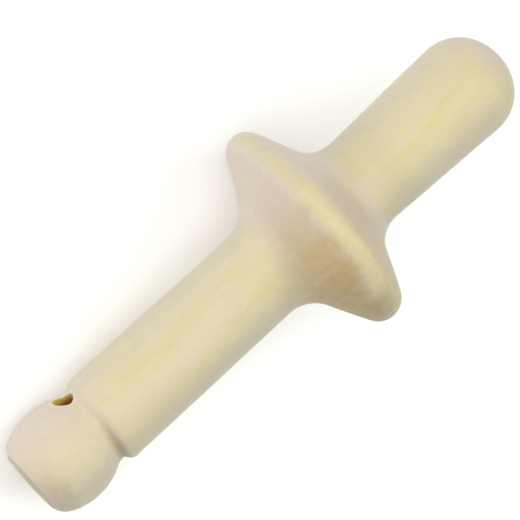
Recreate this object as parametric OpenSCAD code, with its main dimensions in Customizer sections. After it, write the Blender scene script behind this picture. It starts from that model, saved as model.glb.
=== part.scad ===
// Turned wooden training bumper: a knob with a cord hole in its neck, a long handle,
// a double-cone guard and a short domed nose, all turned from one blank.
//
// The outline is worked out in the turning plane, as [radius, height] with the height
// measured from the knob's end face along the turning axis. The finished body is laid
// down as it rests on a floor: on its knob and on the rim of its guard.

/* [Knob] */
// Largest diameter of the knob
knob_d = 43.6; // [41:0.2:46]
// Height of the knob's widest circle above its end face
knob_mid = 17.2; // [15:0.2:19]
// Radius of the knob's crowned side
knob_crown_r = 26; // [23:0.5:30]
// Radius of the soft edge around the end face
knob_edge_r = 7.4; // [4:0.2:9]

/* [Neck] */
// Diameter at the bottom of the neck groove
neck_d = 34.8; // [32:0.2:38]
// Radius of the groove's bottom
groove_r = 4.3; // [3:0.1:6]
// Radius of the shoulder between the groove and the handle
shoulder_r = 7.4; // [4:0.2:9]
// Diameter of the cord hole drilled across the neck
cord_hole_d = 8; // [6:0.5:11]
// Height of the cord hole's middle above the knob's end face
cord_hole_mid = 31; // [30:0.1:34]

/* [Handle] */
// Handle diameter beside the neck
handle_d_neck = 40.5; // [39:0.1:42]
// Handle diameter where its taper meets the guard's middle plane
handle_d_guard = 38.5; // [36:0.1:40.5]

/* [Guard] */
// Diameter of the guard's rim
guard_d = 96.4; // [84:0.2:110]
// Height of the guard's middle plane above the knob's end face
guard_mid = 153; // [140:1:170]
// Radius of the rounded rim
rim_r = 7.4; // [5:0.2:9]
// Angle between the turning axis and the guard's cone on the handle side
handle_cone_angle = 61; // [50:1:68]
// Angle between the turning axis and the guard's cone on the nose side
nose_cone_angle = 64; // [50:1:68]
// Fillet radius between the handle and the guard
handle_fillet_r = 17.5; // [10:0.5:22]
// Fillet radius between the guard and the nose
nose_fillet_r = 14.5; // [8:0.5:20]

/* [Nose] */
// Nose diameter where its flare meets the guard's middle plane
nose_d_guard = 37.8; // [36:0.1:39.5]
// Nose diameter where the domed tip begins
nose_d_tip = 43; // [41:0.1:44]
// Length from the guard's middle plane to the start of the domed tip
nose_len = 82.4; // [75:0.2:95]
// Radius of the dome's shoulder
dome_edge_r = 19.8; // [17:0.1:20]
// Radius of the dome's crown
dome_crown_r = 25.6; // [24.5:0.1:30]

/* [Hidden] */
$fn = 180;
wood = "#E0D5AF";
arc_step = 4;
drill_over = 5;
seam_turn = 120;

// Angles in the turning plane start at the outward radius and turn towards the nose.
function dir(angle) = [cos(angle), sin(angle)];
function angle_of(v) = atan2(v.y, v.x);

// The points along an arc, a few degrees apart.
function arc(centre, radius, from, to) =
    let (steps = ceil(abs(to - from) / arc_step))
    [for (i = [0:steps]) centre + radius * dir(from + (to - from) * i / steps)];

// The centre of a fillet that touches two straight sides, each given as the angle that
// it faces and its distance from the origin.
function fillet_centre(face_a, dist_a, face_b, dist_b, radius) =
    let (n_a = dir(face_a), n_b = dir(face_b), a = dist_a + radius, b = dist_b + radius)
    [a * n_b.y - b * n_a.y, n_a.x * b - n_b.x * a] / (n_a.x * n_b.y - n_b.x * n_a.y);

// The knob: a crowned side, and an edge arc that touches it and the end face.
crown_c = [knob_d / 2 - knob_crown_r, knob_mid];
edge_rise = knob_edge_r - knob_mid;
edge_c = crown_c + [sqrt((knob_crown_r - knob_edge_r) ^ 2 - edge_rise ^ 2), edge_rise];
edge_end = angle_of(edge_c - crown_c);

// The groove, which touches the knob's crowned side.
groove_out = neck_d / 2 + groove_r - crown_c.x;
groove_c = crown_c + [groove_out, sqrt((knob_crown_r + groove_r) ^ 2 - groove_out ^ 2)];
crown_end = angle_of(groove_c - crown_c);

// The handle's tapered side.
handle_face = atan2((handle_d_neck - handle_d_guard) / 2, guard_mid - groove_c.y);
handle_dist = dir(handle_face) * [handle_d_guard / 2, guard_mid];

// The shoulder, which touches the groove and the handle's side.
shoulder_out = handle_dist - shoulder_r;
shoulder_gap = shoulder_out - dir(handle_face) * groove_c;
shoulder_up = dir(handle_face + 90) * groove_c + sqrt((groove_r + shoulder_r) ^ 2 - shoulder_gap ^ 2);
shoulder_c = shoulder_out * dir(handle_face) + shoulder_up * dir(handle_face + 90);
groove_end = angle_of(shoulder_c - groove_c);

// The nose's flared side.
nose_face = -atan2((nose_d_tip - nose_d_guard) / 2, nose_len);
nose_dist = dir(nose_face) * [nose_d_guard / 2, guard_mid];

// The guard's rounded rim, and the fillets between its two cones and the sides.
rim_c = [guard_d / 2 - rim_r, guard_mid];
handle_fillet_c = fillet_centre(
    handle_face, handle_dist,
    -handle_cone_angle, dir(-handle_cone_angle) * rim_c + rim_r,
    handle_fillet_r
);
nose_fillet_c = fillet_centre(
    nose_face, nose_dist,
    nose_cone_angle, dir(nose_cone_angle) * rim_c + rim_r,
    nose_fillet_r
);

// The dome: a shoulder arc that touches the nose's side, and a crown across the axis.
dome_c = [nose_d_tip / 2, guard_mid + nose_len] - dome_edge_r * dir(nose_face);
dome_crown_c = [0, dome_c.y - sqrt((dome_crown_r - dome_edge_r) ^ 2 - dome_c.x ^ 2)];
dome_end = angle_of(dome_c - dome_crown_c);

// How the body rests: the tilt of the line that touches the knob and the rim, the lift
// that puts this line on the floor, and the ends of the resting body's length.
rim_gap = rim_c - crown_c;
rest_tilt = atan2(rim_gap.x, rim_gap.y) + asin((rim_r - knob_crown_r) / norm(rim_gap));
lift = knob_crown_r + crown_c.x * cos(rest_tilt) - crown_c.y * sin(rest_tilt);
low_end = edge_c.y * cos(rest_tilt) - edge_c.x * sin(rest_tilt) - knob_edge_r;
high_end = dome_crown_c.y * cos(rest_tilt) + dome_crown_r;

// Half of the lengthwise section, from the turning axis to the surface.
module half_section() {
    polygon(concat(
        [[0, 0]],
        arc(edge_c, knob_edge_r, -90, edge_end),
        arc(crown_c, knob_crown_r, edge_end, crown_end),
        arc(groove_c, groove_r, crown_end + 180, groove_end),
        arc(shoulder_c, shoulder_r, groove_end - 180, handle_face),
        arc(handle_fillet_c, handle_fillet_r, handle_face + 180, 180 - handle_cone_angle),
        arc(rim_c, rim_r, -handle_cone_angle, nose_cone_angle),
        arc(nose_fillet_c, nose_fillet_r, nose_cone_angle + 180, nose_face + 180),
        arc(dome_c, dome_edge_r, nose_face, dome_end),
        arc(dome_crown_c, dome_crown_r, dome_end, 90)
    ));
}

// The whole body, lying on its knob and rim with the cord hole level, along Y. The seam
// of the revolved outline is turned away from the side that rests on the floor.
module turned_body() {
    color(wood)
        translate([-(low_end + high_end) / 2, 0, lift])
            rotate([0, 90 - rest_tilt, 0])
                difference() {
                    rotate([0, 0, seam_turn])
                        rotate_extrude() half_section();
                    translate([0, 0, cord_hole_mid])
                        rotate([90, 0, 0])
                            cylinder(h = knob_d + 2 * drill_over, d = cord_hole_d, center = true);
                }
}

turned_body();
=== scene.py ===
import math

import bmesh
import bpy
import numpy as np
from mathutils import Matrix, Vector, noise


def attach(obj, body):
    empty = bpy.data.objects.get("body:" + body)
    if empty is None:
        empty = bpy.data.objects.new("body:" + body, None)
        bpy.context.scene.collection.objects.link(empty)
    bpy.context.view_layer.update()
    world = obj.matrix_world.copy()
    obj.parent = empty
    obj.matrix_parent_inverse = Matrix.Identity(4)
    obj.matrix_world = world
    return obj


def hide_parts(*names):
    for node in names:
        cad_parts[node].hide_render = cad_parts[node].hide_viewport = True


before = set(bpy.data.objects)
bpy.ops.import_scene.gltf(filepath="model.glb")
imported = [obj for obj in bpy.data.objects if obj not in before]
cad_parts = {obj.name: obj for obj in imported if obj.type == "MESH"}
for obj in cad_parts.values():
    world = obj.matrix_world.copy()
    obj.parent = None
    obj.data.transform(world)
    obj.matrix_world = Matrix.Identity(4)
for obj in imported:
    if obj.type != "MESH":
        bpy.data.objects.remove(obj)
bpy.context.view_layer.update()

MM = 0.001

# ---------------------------------------------------------------- the body's dimensions, in millimetres
KNOB_D, KNOB_MID, KNOB_CROWN_R, KNOB_EDGE_R = 43.6, 17.2, 26.0, 7.4
NECK_D, GROOVE_R, SHOULDER_R = 34.8, 4.3, 7.4
CORD_HOLE_D, CORD_HOLE_MID = 8.0, 31.0
HANDLE_D_NECK, HANDLE_D_GUARD = 40.5, 38.5
GUARD_D, GUARD_MID, RIM_R = 96.4, 153.0, 7.4
HANDLE_CONE, NOSE_CONE = 61.0, 64.0
HANDLE_FILLET_R, NOSE_FILLET_R = 17.5, 14.5
NOSE_D_GUARD, NOSE_D_TIP, NOSE_LEN = 37.8, 43.0, 82.4
DOME_EDGE_R, DOME_CROWN_R = 19.8, 25.6

# ---------------------------------------------------------------- the mesh's fineness
STATION = 1.15  # spacing of the rings along the outline
AROUND = 224  # points on each ring; a multiple of 8
FINER, FINE_REACH = 2.0, 1.8  # how much closer the rings are at an edge, and how far from it
CAP_R = 8.0  # radius of the square-meshed cap at each end
HOLE_COLS = 17  # half width of the block of faces that each hole mouth replaces
HOLE_REACH = 9.0  # half length of that block along the outline
PATCH_RINGS = 7
LIP_RINGS = 7
WALL_RINGS = 24
LIP_R = 0.7  # rounding of the hole's mouths
PATCH_CROWDING = 0.6  # how much closer the faces around a mouth are near the hole
DENSE = 400  # samples on each arc of the outline
FINE_STEPS = 4000  # samples that the rings are spaced by
NORMAL_REACH = 0.3  # length of outline to each side that sets the direction of its normal
TINY = 1e-9


# ================================================================ the outline
def direction(angle):
    return np.array([math.cos(math.radians(angle)), math.sin(math.radians(angle))])


def angle_of(v):
    return math.degrees(math.atan2(v[1], v[0]))


def fillet_centre(face_a, dist_a, face_b, dist_b, radius):
    """The centre of a fillet between two straight sides, each given by its facing angle and distance."""
    return np.linalg.solve([direction(face_a), direction(face_b)], [dist_a + radius, dist_b + radius])


def outline_arcs():
    """The turned outline's arcs, as (centre, radius, from, to), with points as [radius, height]."""
    handle_face, knob_end = knob_arcs()
    return knob_end + guard_arcs(handle_face)


def knob_arcs():
    """The direction that the handle's side faces, and the arcs from the knob's end to the handle."""
    crown_c = np.array([KNOB_D / 2 - KNOB_CROWN_R, KNOB_MID])
    rise = KNOB_EDGE_R - KNOB_MID
    edge_c = crown_c + [math.sqrt((KNOB_CROWN_R - KNOB_EDGE_R) ** 2 - rise**2), rise]
    edge_end = angle_of(edge_c - crown_c)
    out = NECK_D / 2 + GROOVE_R - crown_c[0]
    groove_c = crown_c + [out, math.sqrt((KNOB_CROWN_R + GROOVE_R) ** 2 - out**2)]
    crown_end = angle_of(groove_c - crown_c)
    face = math.degrees(math.atan2((HANDLE_D_NECK - HANDLE_D_GUARD) / 2, GUARD_MID - groove_c[1]))
    dist = direction(face) @ [HANDLE_D_GUARD / 2, GUARD_MID]
    along = direction(face + 90)
    gap = dist - SHOULDER_R - direction(face) @ groove_c
    up = along @ groove_c + math.sqrt((GROOVE_R + SHOULDER_R) ** 2 - gap**2)
    shoulder_c = (dist - SHOULDER_R) * direction(face) + up * along
    groove_end = angle_of(shoulder_c - groove_c)
    return face, [
        (edge_c, KNOB_EDGE_R, -90, edge_end),
        (crown_c, KNOB_CROWN_R, edge_end, crown_end),
        (groove_c, GROOVE_R, crown_end + 180, groove_end),
        (shoulder_c, SHOULDER_R, groove_end - 180, face),
    ]


def guard_arcs(handle_face):
    """The arcs from the guard's root on the handle to the tip of the dome."""
    handle_dist = direction(handle_face) @ [HANDLE_D_GUARD / 2, GUARD_MID]
    nose_face = -math.degrees(math.atan2((NOSE_D_TIP - NOSE_D_GUARD) / 2, NOSE_LEN))
    nose_dist = direction(nose_face) @ [NOSE_D_GUARD / 2, GUARD_MID]
    rim_c = np.array([GUARD_D / 2 - RIM_R, GUARD_MID])
    low_dist, high_dist = (direction(a) @ rim_c + RIM_R for a in (-HANDLE_CONE, NOSE_CONE))
    low_c = fillet_centre(handle_face, handle_dist, -HANDLE_CONE, low_dist, HANDLE_FILLET_R)
    high_c = fillet_centre(nose_face, nose_dist, NOSE_CONE, high_dist, NOSE_FILLET_R)
    dome_c = np.array([NOSE_D_TIP / 2, GUARD_MID + NOSE_LEN]) - DOME_EDGE_R * direction(nose_face)
    tip_c = np.array([0, dome_c[1] - math.sqrt((DOME_CROWN_R - DOME_EDGE_R) ** 2 - dome_c[0] ** 2)])
    dome_end = angle_of(dome_c - tip_c)
    return [
        (low_c, HANDLE_FILLET_R, handle_face + 180, 180 - HANDLE_CONE),
        (rim_c, RIM_R, -HANDLE_CONE, NOSE_CONE),
        (high_c, NOSE_FILLET_R, NOSE_CONE + 180, nose_face + 180),
        (dome_c, DOME_EDGE_R, nose_face, dome_end),
        (tip_c, DOME_CROWN_R, dome_end, 90),
    ]


ARCS = outline_arcs()
EDGE_C, CROWN_C, RIM_C, TIP_C = (ARCS[i][0] for i in (0, 1, 5, 8))


class Outline:
    """The turned outline by its length from the middle of the knob's end face."""

    def __init__(self):
        points = [np.zeros((1, 2))]
        for centre, radius, start, stop in ARCS:
            t = np.radians(np.linspace(start, stop, DENSE))
            points.append(centre + radius * np.stack([np.cos(t), np.sin(t)], 1))
        self.points = np.concatenate(points)
        steps = np.hypot(*np.diff(self.points, axis=0).T)
        keep = steps > TINY
        self.points = self.points[np.r_[True, keep]]
        self.at = np.r_[0, np.cumsum(steps[keep])]
        self.length = self.at[-1]

    def point(self, s):
        return np.stack([np.interp(s, self.at, self.points[:, i]) for i in (0, 1)], -1)

    def normal(self, s):
        ahead = self.point(np.minimum(s + NORMAL_REACH, self.length))
        tangent = ahead - self.point(np.maximum(s - NORMAL_REACH, 0))
        normal = np.stack([tangent[..., 1], -tangent[..., 0]], -1)
        return normal / np.linalg.norm(normal, axis=-1, keepdims=True)

    def at_height(self, height):
        """The outline's length where the neck passes this height."""
        k = (self.points[:, 1] > KNOB_MID) & (self.points[:, 1] < GUARD_MID - GUARD_D / 2)
        return np.interp(height, self.points[k, 1], self.at[k])


OUTLINE = Outline()

# ================================================================ the resting frame
RIM_GAP = RIM_C - CROWN_C
TILT = math.atan2(*RIM_GAP) + math.asin((RIM_R - KNOB_CROWN_R) / np.linalg.norm(RIM_GAP))
LIFT = KNOB_CROWN_R + CROWN_C[0] * math.cos(TILT) - CROWN_C[1] * math.sin(TILT)
LOW_END = EDGE_C[1] * math.cos(TILT) - EDGE_C[0] * math.sin(TILT) - KNOB_EDGE_R
HIGH_END = TIP_C[1] * math.cos(TILT) + DOME_CROWN_R
AXIS = Vector((math.cos(TILT), 0, math.sin(TILT)))
SIDE = Vector((0, 1, 0))
UP = Vector((-math.sin(TILT), 0, math.cos(TILT)))
END_FACE = Vector((-(LOW_END + HIGH_END) / 2, 0, LIFT)) * MM


def place(height, side, up):
    """Turned coordinates in millimetres to a point of the resting frame in metres."""
    basis = np.array([AXIS, SIDE, UP])
    return np.array(END_FACE) + MM * np.stack([height, side, up], -1) @ basis


# ================================================================ the camera
GRAIN_TURN = 29.0  # degrees from straight up, towards +Y, to the grain's flat side, which faces the camera
ROLL = 29.0  # degrees that the cord hole's +Y mouth is turned up towards the camera
PITCH = 8.4  # degrees that the knob end is nearer to the camera
SLOPE = 42.33  # degrees that the body slants up to the right in the picture
DISTANCE = 2.048
AIM_HEIGHT = 129.296  # millimetres along the body that the camera looks at
AIM_SHIFT = (-0.00368, 0.002392)
LENS = 354.46
SENSOR_WIDTH = 36
CLIP = (0.05, 20)


def camera_axes():
    """The camera's right, up and backward directions."""
    roll, pitch, slope = map(math.radians, (ROLL, PITCH, SLOPE))
    across = math.cos(roll) * SIDE - math.sin(roll) * UP
    facing = math.sin(roll) * SIDE + math.cos(roll) * UP
    along = math.cos(pitch) * AXIS + math.sin(pitch) * facing
    back = math.cos(pitch) * facing - math.sin(pitch) * AXIS
    right = math.cos(slope) * along - math.sin(slope) * across
    up = math.sin(slope) * along + math.cos(slope) * across
    return right, up, back


def add_camera():
    right, up, back = camera_axes()
    data = bpy.data.cameras.new("camera")
    data.lens, data.sensor_width = LENS, SENSOR_WIDTH
    data.clip_start, data.clip_end = CLIP
    cam = bpy.data.objects.new("camera", data)
    aim = END_FACE + MM * AIM_HEIGHT * AXIS + AIM_SHIFT[0] * right + AIM_SHIFT[1] * up
    turned = Matrix((right, up, back)).transposed().to_4x4()
    cam.matrix_world = Matrix.Translation(aim + DISTANCE * back) @ turned
    bpy.context.scene.collection.objects.link(cam)
    bpy.context.scene.camera = cam


# ================================================================ the body's mesh
# Where the hand sanding strayed from the round: middle height, half length, degrees about the axis from
# the grain's flat side towards +Y, and millimetres proud (+) or low (-).
CREASE_H = 34.6
STRAYS = {
    "knob edge, full": (6.0, 6.0, -80, 0.45),
    "knob, flat": (16.0, 8.0, 85, -0.25),
    "neck crease": (CREASE_H, 1.4, -75, -0.62),
    "shoulder, full": (37.6, 2.4, -80, 0.36),
    "shoulder, flat": (36.5, 2.6, 85, -0.32),
    "handle cone, full": (141.0, 9.0, -75, 0.70),
    "handle cone, flat": (141.0, 9.0, 75, -0.85),
    "nose cone, full": (160.5, 4.5, -75, 0.35),
    "nose, flat": (215.0, 30.0, -80, -0.15),
    "nose, full": (215.0, 30.0, 80, 0.20),
}
END_TILT = 0.034  # how far out of square the knob's end was cut, proud on the grain's flat side
END_REACH = 4.0  # height at which the end cut's own errors have faded
ARRIS_R, ARRIS_WIDTH, ARRIS_RISE = 13.3, 0.75, 0.16  # the burr around the end face
# The sanding's waves: length, height and seed.
WAVES = ((31, 0.16, (3.1, 7.7, 1.3)), (13, 0.08, (9.2, 0.4, 5.8)), (5, 0.025, (2.2, 4.4, 6.6)))


def sanding(height, side, up):
    """How far hand sanding left the surface proud (+) or low (-) at these turned coordinates."""
    p = Vector((height, side, up))
    wave = sum(rise * noise.noise(p / size + Vector(seed)) for size, rise, seed in WAVES)
    turn = math.atan2(side, up) - math.radians(GRAIN_TURN)
    for middle, reach, angle, amount in STRAYS.values():
        facing = max(0.0, math.cos(turn - math.radians(angle)))
        wave += amount * facing**2 * math.exp(-(((height - middle) / reach) ** 2))
    radius = math.hypot(side, up)
    arris = ARRIS_RISE * math.exp(-(((radius - ARRIS_R) / ARRIS_WIDTH) ** 2))
    end = max(0.0, 1 - (height / END_REACH) ** 2) ** 2
    return wave + end * (END_TILT * radius * math.cos(turn) + arris)


class Body:
    """Gathers the points and faces of the sanded body."""

    def __init__(self):
        self.points, self.faces = [], []

    def add(self, height, side, up, normal, amount=1.0):
        lift = amount * sanding(height, side, up) if amount else 0.0
        self.points.append((height + lift * normal[0], side + lift * normal[1], up + lift * normal[2]))
        return len(self.points) - 1

    def on_skin(self, s, turn):
        """A point of the turned skin, at this length along the outline and this angle about the axis."""
        (radius, height), (out, rise) = OUTLINE.point(s), OUTLINE.normal(s)
        c, d = math.cos(turn), math.sin(turn)
        return self.add(height, radius * c, radius * d, (rise, out * c, out * d))


def ring_stations():
    """The rings' lengths along the outline, closer together at the end's burr and the neck's crease."""
    at = np.linspace(CAP_R, OUTLINE.length - CAP_R, FINE_STEPS)
    density = np.ones_like(at)
    for middle in (ARRIS_R, OUTLINE.at_height(CREASE_H)):
        density += FINER * np.exp(-(((at - middle) / FINE_REACH) ** 2))
    count = np.cumsum(density) * (at[1] - at[0]) / STATION
    return np.interp(np.linspace(count[0], count[-1], round(count[-1]) + 1), count, at)


def turn_on_square(a, b):
    """The angle on a circle of a point (a, b) on a square around the same middle."""
    if abs(a) >= abs(b):
        return math.pi / 4 * (b / a if a else 0) + (math.pi if a < 0 else 0)
    return math.pi / 2 - math.pi / 4 * (a / b) + (math.pi if b < 0 else 0)


def cap(body, ring, length_at):
    """A square mesh that closes one end inside its ring, whose points start at angle 0."""
    n = AROUND // 4
    index = {}
    for i in range(n + 1):
        for j in range(n + 1):
            a, b = 2 * i / n - 1, 2 * j / n - 1
            reach = max(abs(a), abs(b))
            turn = turn_on_square(a, b)
            if reach > 1 - TINY:
                index[i, j] = ring[round(turn / (2 * math.pi) * AROUND) % AROUND]
            else:
                index[i, j] = body.on_skin(length_at(reach * CAP_R), turn)
    for i in range(n):
        for j in range(n):
            body.faces.append((index[i, j], index[i + 1, j], index[i + 1, j + 1], index[i, j + 1]))


def hole_block(stations):
    """The first and last ring of the block that the hole's mouths replace."""
    middle = OUTLINE.at_height(CORD_HOLE_MID)
    inside = np.nonzero(np.abs(stations - middle) < HOLE_REACH)[0]
    return int(inside[0]), int(inside[-1])


def block_loop(first, last):
    """The edge of the block, once round, as (ring, column offset)."""
    loop = [(first, c) for c in range(-HOLE_COLS, HOLE_COLS)]
    loop += [(r, HOLE_COLS) for r in range(first, last)]
    loop += [(last, c) for c in range(HOLE_COLS, -HOLE_COLS, -1)]
    loop += [(r, -HOLE_COLS) for r in range(last, first, -1)]
    return loop


def column(offset, side):
    """The column at this offset from the middle of the hole's mouth on the +Y or -Y side."""
    return offset % AROUND if side > 0 else (AROUND // 2 - offset) % AROUND


def mouth_turns(edge):
    """The angles about the hole of a block's edge points, drawn halfway to an even spacing."""
    own = np.unwrap(np.arctan2(edge[:, 1], edge[:, 0]))
    even = own[0] + np.sign(own[-1] - own[0]) * np.arange(len(own)) * 2 * math.pi / len(own)
    return (own + even) / 2


def mouth_ring(body, flat, side, sink):
    """One ring around a mouth, from its (along, up) points and how far it is turned into the hole."""
    ring = []
    for along, up in flat:
        s = OUTLINE.at_height(CORD_HOLE_MID + along)
        radius = OUTLINE.point(s)[0]
        depth = math.sqrt(radius**2 - up**2)
        out, rise = OUTLINE.normal(s)
        normal = (rise, side * out * depth / radius, out * up / radius)
        depth -= LIP_R * (1 - math.cos(sink))
        ring.append(body.add(CORD_HOLE_MID + along, side * depth, up, normal, math.cos(sink)))
    return ring


def mouth(body, rings, stations, side):
    """Builds one mouth of the cord hole, from the block's edge over the lip; returns its inner ring."""
    loop = block_loop(*hole_block(stations))
    edge = []
    for r, c in loop:
        radius, height = OUTLINE.point(stations[r])
        edge.append((height - CORD_HOLE_MID, radius * math.sin(2 * math.pi * c / AROUND)))
    edge = np.array(edge)
    turn = mouth_turns(edge)
    circle = np.stack([np.cos(turn), np.sin(turn)], 1)
    bore = CORD_HOLE_D / 2
    before = [rings[r][column(c, side)] for r, c in loop]
    for k in range(1, PATCH_RINGS + LIP_RINGS + 1):
        sink = max(0, k - PATCH_RINGS) / LIP_RINGS * math.pi / 2
        t = min(k / PATCH_RINGS, 1)
        t *= 1 + PATCH_CROWDING * (1 - t)
        round_edge = (bore + LIP_R * (1 - math.sin(sink))) * circle
        ring = mouth_ring(body, (1 - t) * edge + t * round_edge, side, sink)
        bridge(body, before, ring)
        before = ring
    return before


def bridge(body, a, b):
    for i in range(len(a)):
        j = (i + 1) % len(a)
        body.faces.append((a[i], a[j], b[j], b[i]))


def wall(body, near, far):
    """The drilled wall between the inner rings of the two mouths."""
    before = near
    for k in range(1, WALL_RINGS):
        t = k / WALL_RINGS
        ring = []
        for a, b in zip(near, far):
            p = np.array(body.points[a]) * (1 - t) + np.array(body.points[b]) * t
            ring.append(body.add(*p, (0, 0, 0), 0))
        bridge(body, before, ring)
        before = ring
    bridge(body, before, far)


def in_block(i, j, first, last):
    """Whether this face lies in one of the two blocks that the mouths replace."""
    if not first <= i < last:
        return False
    sides = (offsets(j, middle) for middle in (0, AROUND // 2))
    return any(all(-HOLE_COLS <= o <= HOLE_COLS for o in side) for side in sides)


def skin(body, stations):
    """Builds the turned skin; returns its rings, with None where the cord hole's mouths go."""
    first, last = hole_block(stations)
    rings = []
    for i, s in enumerate(stations):
        ring = []
        for j in range(AROUND):
            off = min(j, AROUND - j, abs(j - AROUND // 2))
            gone = first < i < last and off < HOLE_COLS
            ring.append(None if gone else body.on_skin(s, 2 * math.pi * j / AROUND))
        rings.append(ring)
    for i, (low, high) in enumerate(zip(rings, rings[1:])):
        for j in range(AROUND):
            k = (j + 1) % AROUND
            if not in_block(i, j, first, last):
                body.faces.append((low[j], low[k], high[k], high[j]))
    return rings


def body_mesh():
    body = Body()
    stations = ring_stations()
    rings = skin(body, stations)
    cap(body, rings[0], lambda r: r)
    cap(body, rings[-1], lambda r: OUTLINE.length - r)
    wall(body, mouth(body, rings, stations, 1), mouth(body, rings, stations, -1))
    return body


def offsets(j, middle):
    """The two edges of column j's face, as offsets from a mouth's middle column."""
    low = (j - middle + AROUND // 2) % AROUND - AROUND // 2
    return low, low + 1


def add_body(material):
    body = body_mesh()
    points = place(*np.array(body.points).T)
    mesh = bpy.data.meshes.new("sanded_body")
    mesh.from_pydata([tuple(p) for p in points], [], body.faces)
    mesh.validate()
    bm = bmesh.new()
    bm.from_mesh(mesh)
    bmesh.ops.recalc_face_normals(bm, faces=bm.faces)
    bm.to_mesh(mesh)
    bm.free()
    mesh.shade_smooth()
    mesh.materials.append(material)
    piece = bpy.data.objects.new("sanded_body", mesh)
    bpy.context.scene.collection.objects.link(piece)
    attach(piece, "root")
    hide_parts("turned_body")
    return piece


# ================================================================ materials
def linear(*display):
    """A colour given in 0 to 255 display values, as the shader's linear RGBA."""
    return (*(c / 255 / 12.92 if c < 10.3 else ((c / 255 + 0.055) / 1.055) ** 2.4 for c in display), 1)


# The pale colour is painted sheen and the pink partly so; tan and oak are partly painted shade, umber and
# olive serve also as painted shade, the lip colour is a painted highlight, and the deep bore colour is
# partly painted shade.
CREAM, YELLOW, PALE_SHEEN = linear(213, 200, 168), linear(210, 196, 146), linear(201, 191, 167)
PINK_AND_SHEEN, STREAK, TAN_AND_SHADE = linear(211, 196, 182), linear(209, 196, 124), linear(194, 168, 114)
UMBER_AND_SHADE, OAK_AND_SHADE, OLIVE_AND_SHADE = linear(138, 116, 80), linear(170, 144, 90), linear(164, 150, 86)
BORE, BORE_RAW_AND_SHADE, PORE = linear(214, 182, 100), linear(160, 102, 44), linear(176, 152, 112)
LIP_HIGHLIGHT = linear(226, 216, 194)

# Noises, by size in millimetres along, across and through the grain, seed, detail and roughness.
WOBBLE = (34, 9, 9), 3.3, 3.0, 0.5  # how the growth layers wander
LAYERS = (3.4, 150, 60), 5.7, 3.0, 0.6  # the growth layers themselves, thin across and long along the grain
BREAKS = (9, 4, 4), 1.9, 4.0, 0.5  # where a darker layer is broken up
CLOUDS = (40, 12, 12), 2.6, 4.0, 0.55  # broad yellow clouds
DRIFT = (11, 11, 11), 5.1, 4.0, 0.6  # how the edges of what is coloured by place wander
PUFFS = (7, 4.6, 4.6), 7.7, 4.0, 0.6  # small clouds, yellower and less pink
FIBRES = (5, 0.85, 0.85), 4.2, 4.0, 0.65
FLECKS = (2.8, 1.7, 1.7), 8.8, 4.0, 0.75
PORES = (5, 0.42, 0.42), 6.8, 2.0, 0.6
PATCHES = (12, 8, 8), 9.6, 5.0, 0.55  # where the guard's tan and brown are thick or thin
MOTTLE = (16, 7, 7), 0.7, 5.0, 0.65  # lighter and darker wood
CHATTER = (1.1, 6, 6), 3.9, 3.0, 0.7  # faint rings left by the turning tool

LAYER_SLOPE = 0.15  # how far the growth layers run across for each millimetre along the body
LAYER_WOBBLE = 4.0  # how far they wander, in millimetres
DRIFT_ALONG, DRIFT_ACROSS, DRIFT_SIDES, DRIFT_RIM = 15.0, 12.0, 9.0, 2.6  # millimetres of wandering
# Where a darker growth layer comes to the skin: its place across at the knob's end, and its lengths.
STREAKS = {"handle": (-22.9, (58, 84, 116, 134)), "nose": (-31.8, (172, 190, 232, 250))}
STREAK_ACROSS = (-5.0, -0.4, 0.2, 1.5)

# Bands along the body, by the heights where each begins, is full, stops being full and ends.
YELLOW_HANDLE = (34, 56, 76, 104)
# Of the bands below, all but the first place painted shade; the cone's and the nose's tan are partly real
# tan.
ROOT_SHADE_BAND = (118, 127, 133, 142)
CONE_TAN_AND_SHADE = (126, 141, 144, 153)
RIM_TIP_SHADE = (138, 145, 150, 159)
NOSE_TAN_AND_SHADE = (153, 157, 163, 176)
NOSE_SHADE_BAND = (168, 180, 186, 204)
# Steps along the body, by the heights where each is none and full.
YELLOW_NOSE, LOW_DOME, PINK_KNOB = (165, 190), (236, 246), (58.0, 22.0)
OAK_BEGINS, OAK_ENDS = (127, 136), (151, 143)
# The first pair below is where the knob's end is darkened towards its lower side.
DARK_END, AT_END = (12.0, 2.0), (3.0, 2.0)
# Steps across the grain, by the places where each is none and full, positive towards +Y.
# Below: the dome's lower side, the knob's pink with its painted sheen, and the painted sheen along both
# sides.
DOME_LOW_SIDE, PINK_SHEEN_SIDE, PALE_SHEEN_SIDES = (4.0, -12.0), (0.0, 13.0), (9.0, 18.5)
# Below: where painted shade falls on the lower side, for the tan, the root fillet, the brown patch and the
# rim's lowest part.
TAN_SHADE_SIDE, ROOT_SHADE_SIDE, OAK_SHADE_SIDE, RIM_TIP_SHADE_SIDE = (26.0, -16.0), (6.0, -16.0), (-9.0, -32.0), (-33.0, -46.0)
# Below: where painted shade falls in the crease and on the end face, where the knob's end darkens, and the
# rim's yellow side.
CREASE_SHADE_SIDE, DARK_END_SIDE, END_SHADE_SIDE, RIM_SIDE = (4.0, -18.0), (6.0, -14.0), (12.0, 3.0), (46.0, 0.0)
RIM_RADII = (46.6, 48.5)

# Other steps and humps: how strong a noise has to be, or how far something reaches, in millimetres.
PORE_STEP, CLOUD_STEP, BREAK_STEP, RAW_STEP = (0.66, 0.80), (0.34, 0.66), (0.22, 0.66), (0.45, 0.75)
SLANT_STEP = (0.16, 0.86)  # how far the surface has to face along the body to show pink end grain
YELLOW_STRIPE = (5.0, 8.0)  # middle and half width across the handle
PALE_SHEEN_MIDDLE = -0.5  # moves the middle between the two sides of painted sheen a little towards +Y
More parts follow.
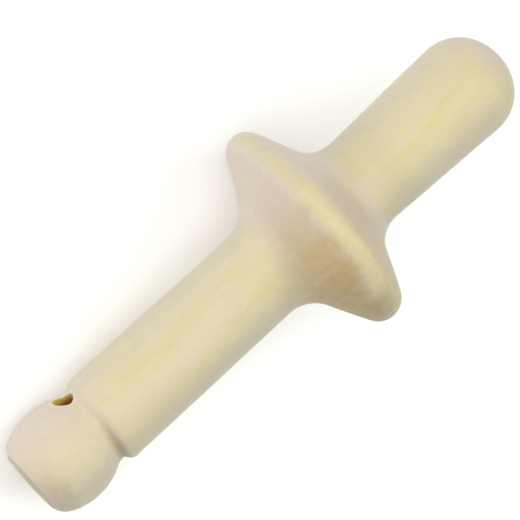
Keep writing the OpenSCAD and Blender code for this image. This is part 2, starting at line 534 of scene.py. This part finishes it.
# Painted shade in the neck's crease, and the darker ring at the end face's burr: middle and reach.
CREASE_SHADE, BURR_RING = (CREASE_H - 0.2, 3.4), (ARRIS_R, 1.5)
END_RADII = (ARRIS_R + 0.4, ARRIS_R - 0.2)
LIP_HIGHLIGHT_REACH, WALL_EDGE = (1.9, 1.0), (0.45, 0.15)  # the painted highlight round the mouths, and the wall's edge: beyond the cord hole's own radius
BORE_SHADE_DEPTHS = (17.0, 13.8)  # where painted shade deeper in the hole is none and full: distances from the middle of the hole

# Weights of what is added up, in the order in which the code names it.
CLOUD_WEIGHTS, YELLOW_WEIGHTS = (0.55, 0.45), (0.50, 0.35, 0.22, 2.9, 1.1)
PINK_WEIGHTS, SLANT_DRIFT, SIDE_WOBBLE = (0.5, -0.3), 0.45, 10.0
PATCH_WEIGHTS, PATCH_BASE = (0.9, 0.9, 0.8), -0.04
SHADE_WEIGHTS, SHADE_BASE = (0.133, 0.19), 0.9335
ROUGH_WEIGHTS, ROUGH_BASE = (0.20, 0.08), 0.40
RELIEF_WEIGHTS = (0.6, -0.5, 0.35)
# Straight lines: how much is added for each unit of a value, and what it starts from.
# Below: how the painted sheen and the pink fade on the dome's lower side, and the knob's pink, which is
# partly painted sheen.
PALE_SHEEN_ON_DOME, PINK_ON_DOME, PINK_ON_KNOB = (-0.9, 1.0), (-0.85, 1.0), (0.75, 0.10)
RIM_YELLOW, RIM_PATCHES = (0.6, 0.4), (1.6, 0.86)
# Below: the end face's olive with its painted shade, by side and by layers.
END_OLIVE_AND_SHADE, END_LAYERS = (0.62, 0.16), (1.3, 0.35)
# Below: random mottling, and the painted shade on the nose beyond the guard.
MOTTLING, NOSE_SHADING = (0.085, 1.0), (-0.07, 1.0)

# The surface's own values.
IOR, SHEEN, SHEEN_ROUGHNESS = 1.5, 0.12, 0.5
BUMP_STRENGTH, BUMP_DISTANCE = 0.35, 0.00025

# How strongly each colour covers the one under it.
# Of these, the pale sides are painted sheen and the pink partly so; the root fillet's olive, the rim's
# umber and the crease are painted shade; tan and oak are partly painted shade; and the lip is a painted
# highlight.
COVER = {
    "pale_sheen": 0.85, "streak": 0.55, "pink_and_sheen": 0.85, "nose tan": 0.44, "root_shade": 0.24, "oak_and_shade": 0.84,
    "rim umber": 0.52, "crease": 0.62, "worn end": 0.30, "burr": 0.55, "pores": 0.12,
    "lip": 0.5, "raw wall": 0.8,
}


class Shader:
    """Adds linked nodes to one material, and gives back their output sockets."""

    def __init__(self, name):
        self.material = bpy.data.materials.new(name)
        self.material.use_nodes = True
        self.tree = self.material.node_tree
        self.surface = self.tree.nodes["Principled BSDF"]

    def feed(self, socket, value):
        if isinstance(value, bpy.types.NodeSocket):
            self.tree.links.new(value, socket)
        else:
            socket.default_value = value

    def node(self, kind, inputs, **settings):
        node = self.tree.nodes.new("ShaderNode" + kind)
        for name, value in settings.items():
            setattr(node, name, value)
        for key, value in inputs.items():
            self.feed(node.inputs[key], value)
        return node

    def math(self, operation, a, b=0.0):
        return self.node("Math", {0: a, 1: b}, operation=operation).outputs[0]

    def add(self, a, b):
        return self.math("ADD", a, b)

    def times(self, a, b):
        return self.math("MULTIPLY", a, b)

    def length(self, a, b):
        return self.math("SQRT", self.add(self.times(a, a), self.times(b, b)))

    def line(self, value, slope, start):
        return self.add(self.times(value, slope), start)

    def total(self, values, weights, base=0.0):
        """A base plus each value times its weight."""
        for value, weight in zip(values, weights):
            base = self.line(value, weight, base)
        return base

    def smooth(self, value, none, full):
        """0 up to none and 1 from full on, with a soft step between; none may be above full."""
        low, high = min(none, full), max(none, full)
        ends = {0: value, 1: low, 2: high, 3: float(none > full), 4: float(none < full)}
        return self.node("MapRange", ends, interpolation_type="SMOOTHSTEP").outputs[0]

    def hump(self, value, middle, reach):
        """1 at the middle, falling smoothly to 0 at this reach on both sides."""
        away = self.math("ABSOLUTE", self.add(value, -middle))
        return self.smooth(away, reach, 0.0)

    def band(self, value, ends):
        """0 outside the first and last end, and 1 between the two middle ones."""
        return self.times(self.smooth(value, ends[0], ends[1]), self.smooth(value, ends[3], ends[2]))

    def mix(self, factor, a, b):
        return self.node("Mix", {0: factor, 6: a, 7: b}, data_type="RGBA").outputs[2]

    def noise(self, parts, sizes, seed, detail=2.0, roughness=0.5):
        """Noise from 0 to 1, with its own size in millimetres along each of the three coordinates."""
        scaled = [self.add(self.times(part, 1 / size), seed) for part, size in zip(parts, sizes)]
        vector = self.node("CombineXYZ", dict(enumerate(scaled))).outputs[0]
        inputs = {"Vector": vector, "Scale": 1.0, "Detail": detail, "Roughness": roughness}
        return self.node("TexNoise", inputs).outputs[0]

    def along(self, vector, direction):
        """The distance in millimetres from the knob's end face, along this direction."""
        return self.times(self.add(self.dot(vector, direction), -END_FACE.dot(direction)), 1 / MM)

    def dot(self, vector, direction):
        inputs = {0: vector, 1: tuple(direction)}
        return self.node("VectorMath", inputs, operation="DOT_PRODUCT").outputs["Value"]


class Wood(Shader):
    """The bare wood. h is the height along the body, e is across the grain, f is out of its flat side."""

    def __init__(self):
        super().__init__("bare_wood")
        turn = math.radians(GRAIN_TURN)
        across = math.cos(turn) * SIDE - math.sin(turn) * UP
        through = math.sin(turn) * SIDE + math.cos(turn) * UP
        self.point = self.node("TexCoord", {}).outputs["Object"]
        self.h, self.e, self.f = (self.along(self.point, d) for d in (AXIS, across, through))
        self.spot = (self.h, self.e, self.f)
        self.radius = self.length(self.e, self.f)
        self.figure()
        self.side_grain()
        self.end_grain()
        self.guard()
        self.knob()
        self.tone()
        self.cord_hole()
        self.feed(self.surface.inputs["Base Color"], self.colour)
        self.finish()

    def around(self, parts):
        """A noise that swings about 0."""
        return self.add(self.noise(self.spot, *parts), -0.5)

    def paint(self, colour, amount, cover=1.0):
        self.colour = self.mix(self.times(amount, cover), self.colour, colour)

    def figure(self):
        """The growth layers, and the fine noises that several colours share."""
        wobble, drift, fleck, puff = (self.around(n) for n in (WOBBLE, DRIFT, FLECKS, PUFFS))
        self.wobble, self.drift, self.fleck, self.puff = wobble, drift, fleck, puff
        self.layer = self.total((self.h, wobble), (-LAYER_SLOPE, LAYER_WOBBLE), self.e)
        self.layers = self.noise((self.layer, self.h, self.f), *LAYERS)
        self.fibre = self.noise(self.spot, *FIBRES)
        self.pores = self.smooth(self.noise(self.spot, *PORES), *PORE_STEP)
        self.near = self.line(drift, DRIFT_ALONG, self.h)
        self.over = self.line(drift, DRIFT_ACROSS, self.e)
        self.low_dome = self.times(self.smooth(self.h, *LOW_DOME), self.smooth(self.e, *DOME_LOW_SIDE))

    def side_grain(self):
        """Cream with yellow clouds, made paler to both sides of the flat face by painted sheen, with two
        darker layers.
        """
        clouds = self.total((self.noise(self.spot, *CLOUDS), self.layers), CLOUD_WEIGHTS)
        clouds = self.smooth(clouds, *CLOUD_STEP)
        stripe = self.times(self.band(self.h, YELLOW_HANDLE), self.hump(self.e, *YELLOW_STRIPE))
        nose = self.smooth(self.h, *YELLOW_NOSE)
        yellow = self.total((clouds, stripe, nose, self.fleck, self.puff), YELLOW_WEIGHTS)
        self.colour = self.mix(self.math("MAXIMUM", yellow, 0.0), CREAM, YELLOW)
        # Painted sheen: paler along both sides of the flat face, less so on the dome's lower side.
        wander = self.add(self.wobble, self.drift)
        off_middle = self.math("ABSOLUTE", self.line(wander, DRIFT_SIDES, self.add(self.e, PALE_SHEEN_MIDDLE)))
        pale_sheen = self.times(self.smooth(off_middle, *PALE_SHEEN_SIDES), self.line(self.low_dome, *PALE_SHEEN_ON_DOME))
        self.paint(PALE_SHEEN, pale_sheen, COVER["pale_sheen"])
        self.paint(STREAK, self.streaks(), COVER["streak"])

    def streaks(self):
        """1 where a darker growth layer comes to the skin."""
        found = 0.0
        for place_across, lengths in STREAKS.values():
            own = self.band(self.layer, [place_across + w for w in STREAK_ACROSS])
            found = self.math("MAXIMUM", self.times(own, self.band(self.h, lengths)), found)
        return self.times(found, self.smooth(self.noise(self.spot, *BREAKS), *BREAK_STEP))

    def end_grain(self):
        """Pinker wood where the surface is cut across the grain, and on one side of the knob, where it is
        partly pinker wood and partly painted sheen.
        """
        slant = self.math("ABSOLUTE", self.dot(self.node("NewGeometry", {}).outputs["Normal"], AXIS))
        pink_and_sheen = self.smooth(self.line(self.drift, SLANT_DRIFT, slant), *SLANT_STEP)
        pink_and_sheen = self.times(pink_and_sheen, self.line(self.low_dome, *PINK_ON_DOME))
        # The knob's pink towards +Y is partly painted sheen on that side.
        sheen_side = self.smooth(self.line(self.wobble, SIDE_WOBBLE, self.e), *PINK_SHEEN_SIDE)
        knob = self.times(self.smooth(self.near, *PINK_KNOB), self.line(sheen_side, *PINK_ON_KNOB))
        pink_and_sheen = self.total((self.fleck, self.puff), PINK_WEIGHTS, self.math("MAXIMUM", pink_and_sheen, knob))
        self.pink_and_sheen = self.math("MAXIMUM", pink_and_sheen, 0.0)
        self.paint(PINK_AND_SHEEN, self.pink_and_sheen, COVER["pink_and_sheen"])

    def guard(self):
        """The guard's lower side, tan and brown partly in its wood and partly as painted shade; painted
        shade in its root fillet and at its rim's lowest part; and its yellow rim.
        """
        patches = (self.noise(self.spot, *PATCHES), self.layers, self.fleck)
        patchy = self.total(patches, PATCH_WEIGHTS, PATCH_BASE)
        # Tan on the lower side of both cones: partly a tan patch, partly painted shade.
        tan_and_shade = self.band(self.near, CONE_TAN_AND_SHADE)
        tan_and_shade = self.math("MAXIMUM", tan_and_shade, self.times(self.band(self.h, NOSE_TAN_AND_SHADE), COVER["nose tan"]))
        self.paint(TAN_AND_SHADE, self.times(self.smooth(self.over, *TAN_SHADE_SIDE), tan_and_shade), patchy)
        # Painted shade: olive in the concave fillet at the guard's root, on the lower side.
        root_shade = self.times(self.smooth(self.over, *ROOT_SHADE_SIDE), self.band(self.near, ROOT_SHADE_BAND))
        self.paint(OLIVE_AND_SHADE, self.times(root_shade, patchy), COVER["root_shade"])
        # Brown at the far lower side of the handle cone: partly a brown patch, partly painted shade.
        oak_and_shade = self.times(self.smooth(self.near, *OAK_BEGINS), self.smooth(self.h, *OAK_ENDS))
        oak_and_shade = self.times(self.smooth(self.over, *OAK_SHADE_SIDE), oak_and_shade)
        self.paint(OAK_AND_SHADE, self.times(oak_and_shade, patchy), COVER["oak_and_shade"])
        wander = self.add(self.drift, self.fleck)
        rim = self.smooth(self.line(wander, DRIFT_RIM, self.radius), *RIM_RADII)
        rim = self.times(rim, self.line(self.smooth(self.e, *RIM_SIDE), *RIM_YELLOW))
        self.paint(YELLOW, rim, self.line(self.puff, *RIM_PATCHES))
        # Painted shade: umber at the lowest part of the rim.
        tip_shade = self.times(self.smooth(self.over, *RIM_TIP_SHADE_SIDE), self.band(self.h, RIM_TIP_SHADE))
        self.paint(UMBER_AND_SHADE, tip_shade, COVER["rim umber"])

    def knob(self):
        """Painted shade in the neck's crease, the knob end darker towards its lower side, and the raw end
        face, olive as end grain and as painted shade towards its lower side, with a darker ring at its
        burr.
        """
        # Painted shade in the neck's crease, strongest on the lower side.
        crease = self.times(self.hump(self.h, *CREASE_SHADE), self.smooth(self.e, *CREASE_SHADE_SIDE))
        self.paint(UMBER_AND_SHADE, crease, COVER["crease"])
        # Darker at the knob's end, towards its lower side.
        darkened = self.times(self.smooth(self.near, *DARK_END), self.smooth(self.e, *DARK_END_SIDE))
        self.paint(UMBER_AND_SHADE, darkened, COVER["worn end"])
        at_end = self.smooth(self.h, *AT_END)
        face = self.times(at_end, self.smooth(self.radius, *END_RADII))
        # The end face's olive is partly end grain and partly painted shade, stronger towards its lower
        # side.
        olive_and_shade = self.line(self.smooth(self.e, *END_SHADE_SIDE), *END_OLIVE_AND_SHADE)
        olive_and_shade = self.times(olive_and_shade, self.line(self.layers, *END_LAYERS))
        self.paint(OLIVE_AND_SHADE, face, olive_and_shade)
        # A darker ring round the end face at its burr.
        self.paint(UMBER_AND_SHADE, self.times(at_end, self.hump(self.radius, *BURR_RING)), COVER["burr"])

    def tone(self):
        """Pores, the lighter and darker fibres, flecks and clouds, and painted shade on the nose just
        beyond the guard.
        """
        self.paint(PORE, self.pores, COVER["pores"])
        shade = self.total((self.fibre, self.fleck), SHADE_WEIGHTS, SHADE_BASE)
        mottle = self.line(self.around(MOTTLE), *MOTTLING)
        # Painted shade: the nose darker just beyond the guard.
        nose_shade = self.line(self.band(self.h, NOSE_SHADE_BAND), *NOSE_SHADING)
        tone = self.times(self.times(shade, mottle), nose_shade)
        tone = self.node("CombineXYZ", dict.fromkeys(range(3), tone)).outputs[0]
        inputs = {0: 1.0, 6: self.colour, 7: tone}
        self.colour = self.node("Mix", inputs, data_type="RGBA", blend_type="MULTIPLY").outputs[2]

    def cord_hole(self):
        """The cord hole's drilled wall, rawer and darker than the sanded skin, with painted shade deeper
        in, and a painted highlight round its mouths.
        """
        from_axis = self.length(self.along(self.point, UP), self.add(self.h, -CORD_HOLE_MID))
        beyond = self.add(from_axis, -CORD_HOLE_D / 2)
        # Painted highlight: a light band round each mouth of the cord hole.
        self.paint(LIP_HIGHLIGHT, self.smooth(beyond, *LIP_HIGHLIGHT_REACH), COVER["lip"])
        # Painted shade: the wall darker deeper in the hole, mixed with darker raw fibres.
        deep_shade = self.smooth(self.math("ABSOLUTE", self.along(self.point, SIDE)), *BORE_SHADE_DEPTHS)
        raw = self.times(self.smooth(self.fibre, *RAW_STEP), COVER["raw wall"])
        bore_colour = self.mix(self.math("MAXIMUM", deep_shade, raw), BORE, BORE_RAW_AND_SHADE)
        self.paint(bore_colour, self.smooth(beyond, *WALL_EDGE))

    def finish(self):
        """The dull sanded surface, and its relief."""
        rough = self.total((self.fibre, self.pink_and_sheen), ROUGH_WEIGHTS, ROUGH_BASE)
        self.feed(self.surface.inputs["Roughness"], rough)
        self.surface.inputs["IOR"].default_value = IOR
        self.surface.inputs["Sheen Weight"].default_value = SHEEN
        self.surface.inputs["Sheen Roughness"].default_value = SHEEN_ROUGHNESS
        relief = self.total((self.fibre, self.pores, self.noise(self.spot, *CHATTER)), RELIEF_WEIGHTS)
        inputs = {"Strength": BUMP_STRENGTH, "Distance": BUMP_DISTANCE, "Height": relief}
        bump = self.node("Bump", inputs)
        self.feed(self.surface.inputs["Normal"], bump.outputs[0])


def plain(name, colour, roughness):
    g = Shader(name)
    g.surface.inputs["Base Color"].default_value = (*colour, 1)
    g.surface.inputs["Roughness"].default_value = roughness
    return g.material


# ================================================================ floor and lights
FLOOR_REACH, FLOOR_GLOW, WORLD_GLOW = 3.0, 0.16, 0.35
LIGHT_AIM, LIGHT_DISTANCE = Vector((0, 0, 0.04)), 1.5
# Soft lights: direction as parts of the camera's right, up and back, size in metres, watts and colour.
LIGHTS = {
    "front": ((0, 0, 1), 1.2, 11.6, (1, 1, 1)),
    "left": ((-1, 0.5, 0.9), 1.6, 7.0, (1, 1, 1)),
    "right": ((1, 0, 0.6), 1.6, 11.4, (0.92, 1.0, 0.97)),
}


def add_floor():
    mesh = bpy.data.meshes.new("floor")
    r = FLOOR_REACH
    mesh.from_pydata([(-r, -r, 0), (r, -r, 0), (r, r, 0), (-r, r, 0)], [], [(0, 1, 2, 3)])
    floor = bpy.data.objects.new("floor", mesh)
    white = plain("floor", (0.96, 0.96, 0.96), 0.9)
    surface = white.node_tree.nodes["Principled BSDF"]
    surface.inputs["Emission Color"].default_value = (1, 1, 1, 1)
    surface.inputs["Emission Strength"].default_value = FLOOR_GLOW
    mesh.materials.append(white)
    bpy.context.scene.collection.objects.link(floor)


def add_light(name, parts, size, power, colour):
    """A square soft light in this direction from the middle of the body."""
    towards = sum((part * axis for part, axis in zip(parts, camera_axes())), Vector()).normalized()
    data = bpy.data.lights.new(name, "AREA")
    data.size, data.energy, data.color = size, power, colour
    light = bpy.data.objects.new(name, data)
    light.location = LIGHT_AIM + LIGHT_DISTANCE * towards
    light.rotation_mode = "QUATERNION"
    light.rotation_quaternion = towards.to_track_quat("Z", "Y")
    bpy.context.scene.collection.objects.link(light)


def add_world(strength):
    world = bpy.data.worlds.new("studio")
    world.use_nodes = True
    background = world.node_tree.nodes["Background"]
    background.inputs["Color"].default_value = (1, 1, 1, 1)
    background.inputs["Strength"].default_value = strength
    bpy.context.scene.world = world


add_camera()
add_floor()
add_body(Wood().material)
add_world(WORLD_GLOW)
for light_name, light in LIGHTS.items():
    add_light(light_name, *light)
bpy.context.scene.view_settings.view_transform = "Standard"
